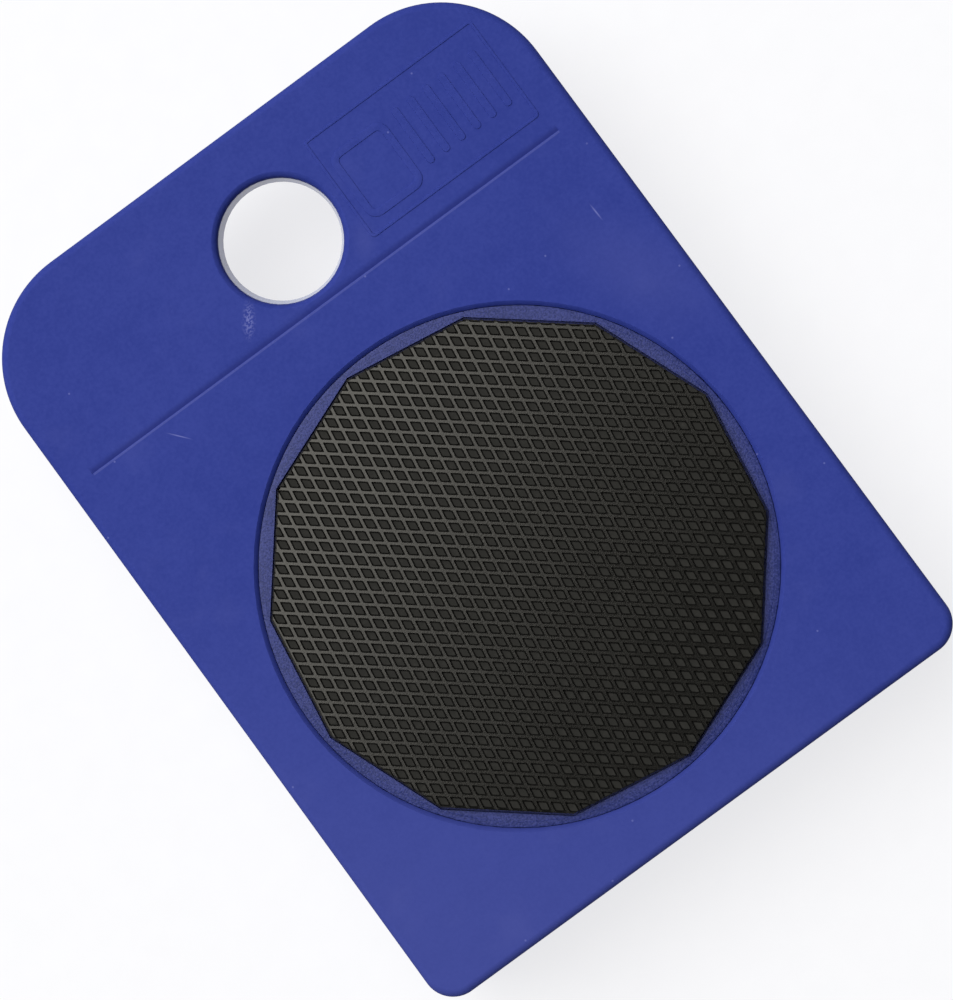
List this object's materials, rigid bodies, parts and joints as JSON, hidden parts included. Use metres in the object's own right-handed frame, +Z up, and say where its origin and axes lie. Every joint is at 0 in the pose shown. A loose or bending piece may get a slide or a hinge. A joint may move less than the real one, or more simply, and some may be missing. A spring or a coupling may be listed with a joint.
{
  "type": "furniture moving roller",
  "caption": "Flat ribbed plastic furniture roller on wheels, with a finger hole at the handle end and a free-turning disc with a twelve-sided rubber grip pad on top.",
  "frame": {"origin": "on the floor under the middle of the body, with the wheels standing on z = 0", "axes": "+Z up, +Y towards the handle end with the finger hole, axles along X"},
  "size_m": [0.08, 0.105, 0.025],
  "materials": {
    "body_plastic": "moulded blue plastic with a fine spark-eroded grain",
    "turntable_plastic": "moulded blue plastic, rougher and greyer than the body",
    "grip_rubber": "black moulded rubber with a lozenge tread",
    "wheel_nylon": "dark moulded nylon",
    "axle_steel": "drawn steel pin",
    "keeper_steel": "zinc-plated steel strip",
    "screw_steel": "zinc-plated steel screw"
  },
  "bodies": {
    "base": {"base_body": "body_plastic", "axle_front_left": "axle_steel", "axle_front_right": "axle_steel", "axle_rear_left": "axle_steel", "axle_rear_right": "axle_steel", "keeper_left_outer": "keeper_steel", "keeper_left_inner": "keeper_steel", "keeper_right_inner": "keeper_steel", "keeper_right_outer": "keeper_steel", "keeper_screw_left_outer_front": "screw_steel", "keeper_screw_left_outer_rear": "screw_steel", "keeper_screw_left_inner_front": "screw_steel", "keeper_screw_left_inner_rear": "screw_steel", "keeper_screw_right_inner_front": "screw_steel", "keeper_screw_right_inner_rear": "screw_steel", "keeper_screw_right_outer_front": "screw_steel", "keeper_screw_right_outer_rear": "screw_steel"},
    "turntable": {"turntable": "turntable_plastic", "grip_pad": "grip_rubber", "pivot_screw": "screw_steel", "pivot_washer": "keeper_steel"},
    "wheel_front_left": {"wheel_front_left": "wheel_nylon"},
    "wheel_front_right": {"wheel_front_right": "wheel_nylon"},
    "wheel_rear_left": {"wheel_rear_left": "wheel_nylon"},
    "wheel_rear_right": {"wheel_rear_right": "wheel_nylon"}
  },
  "joints": [
    {"name": "turntable_spin", "type": "hinge", "parent": "base", "child": "turntable", "pos_m": [0, -0.01326, 0.0197], "axis": [0, 0, 1], "continuous": true},
    {"name": "wheel_front_left_spin", "type": "hinge", "parent": "base", "child": "wheel_front_left", "pos_m": [-0.0242, 0.01278, 0.008], "axis": [1, 0, 0], "continuous": true},
    {"name": "wheel_front_right_spin", "type": "hinge", "parent": "base", "child": "wheel_front_right", "pos_m": [0.0242, 0.01278, 0.008], "axis": [1, 0, 0], "continuous": true},
    {"name": "wheel_rear_left_spin", "type": "hinge", "parent": "base", "child": "wheel_rear_left", "pos_m": [-0.0242, -0.0393, 0.008], "axis": [1, 0, 0], "continuous": true},
    {"name": "wheel_rear_right_spin", "type": "hinge", "parent": "base", "child": "wheel_rear_right", "pos_m": [0.0242, -0.0393, 0.008], "axis": [1, 0, 0], "continuous": true}
  ]
}
